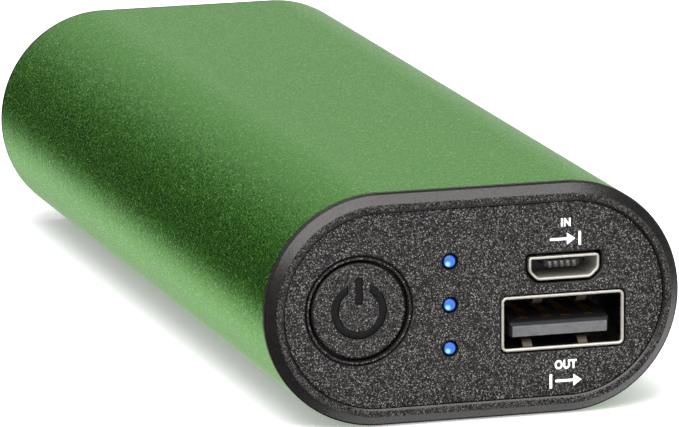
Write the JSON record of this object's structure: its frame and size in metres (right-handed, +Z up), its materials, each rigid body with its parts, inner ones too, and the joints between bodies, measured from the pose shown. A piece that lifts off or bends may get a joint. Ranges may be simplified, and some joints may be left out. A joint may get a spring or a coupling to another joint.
{
  "type": "rechargeable hand warmer",
  "caption": "Flat-oval rechargeable hand warmer: green aluminium sleeve, black end bezels, sprung power button, indicator lights and charge ports on one end.",
  "frame": {"origin": "under the middle of the body, on the surface it lies on", "axes": "+X to the right seen from the port end, +Y from the port end to the rear end, +Z up"},
  "size_m": [0.044, 0.11, 0.024],
  "materials": {
    "sleeve": "bead-blasted, green anodised",
    "bezel": "satin moulded",
    "panel": "coarse spark texture",
    "button": "fine spark texture",
    "gloss_black": "polished",
    "clear_acrylic": "clear, lit blue from behind",
    "steel_shell": "nickel plated",
    "screw_steel": "black zinc",
    "contact_gold": "gold flash",
    "insulator": "moulded",
    "micro_insulator": "moulded",
    "board": "solder resist",
    "chip": "moulded epoxy",
    "ferrite": "pressed powder",
    "ceramic": "ceramic with tinned ends",
    "lamp": "clear epoxy",
    "switch_plastic": "moulded",
    "chassis": "moulded",
    "cell_can": "nickel plated",
    "cell_wrap": "shrink film",
    "paper": "fish paper",
    "nickel": "nickel strip",
    "red_lead": "silicone insulation",
    "black_lead": "silicone insulation",
    "white_lead": "silicone insulation",
    "polyimide": "film",
    "tape": "double-sided tape",
    "thermistor_epoxy": "dipped"
  },
  "bodies": {
    "body": {"sleeve": "sleeve", "front_bezel": "bezel", "rear_bezel": "bezel", "front_panel": "panel", "rear_panel": "panel", "front_panel_adhesive": "tape", "rear_panel_adhesive": "tape", "front_screws": "screw_steel", "rear_screws": "screw_steel", "light_guide": "clear_acrylic", "switch_board": "board", "switch_base": "switch_plastic", "switch_cover": "steel_shell", "switch_dome": "steel_shell", "indicator_leds": "lamp", "board_link_pins": "contact_gold", "main_board": "board", "board_screws": "screw_steel", "usb_a_shell": "steel_shell", "usb_a_insulator": "insulator", "usb_a_contacts": "contact_gold", "micro_usb_shell": "steel_shell", "micro_usb_insulator": "micro_insulator", "micro_usb_contacts": "contact_gold", "charge_controller": "chip", "power_inductor": "ferrite", "power_transistors": "chip", "filter_capacitors": "ceramic", "chassis_lower": "chassis", "chassis_upper": "chassis", "cell_can_left": "cell_can", "cell_can_right": "cell_can", "cell_wrap_left": "cell_wrap", "cell_wrap_right": "cell_wrap", "cell_insulators": "paper", "cell_tab_front": "nickel", "cell_tab_rear": "nickel", "battery_lead_positive": "red_lead", "battery_lead_negative": "black_lead", "heater_film_top": "polyimide", "heater_film_bottom": "polyimide", "heater_leads_top": "white_lead", "heater_leads_bottom": "white_lead", "thermistor": "thermistor_epoxy"},
    "power_button": {"power_button": "button", "button_mark": "gloss_black"},
    "switch_plunger": {"switch_plunger": "switch_plastic"}
  },
  "joints": [
    {"name": "button_press", "type": "slide", "parent": "body", "child": "power_button", "axis": [0, 1, 0], "range_m": [0, 0.0004], "stiffness_N_per_m": 4000, "deforming": ["switch_dome"]},
    {"name": "plunger_press", "type": "slide", "parent": "body", "child": "switch_plunger", "axis": [0, 1, 0], "range_m": [0, 0.0005]}
  ],
  "couplings": [
    {"joint": "plunger_press", "follows": "button_press", "ratio": 1}
  ]
}
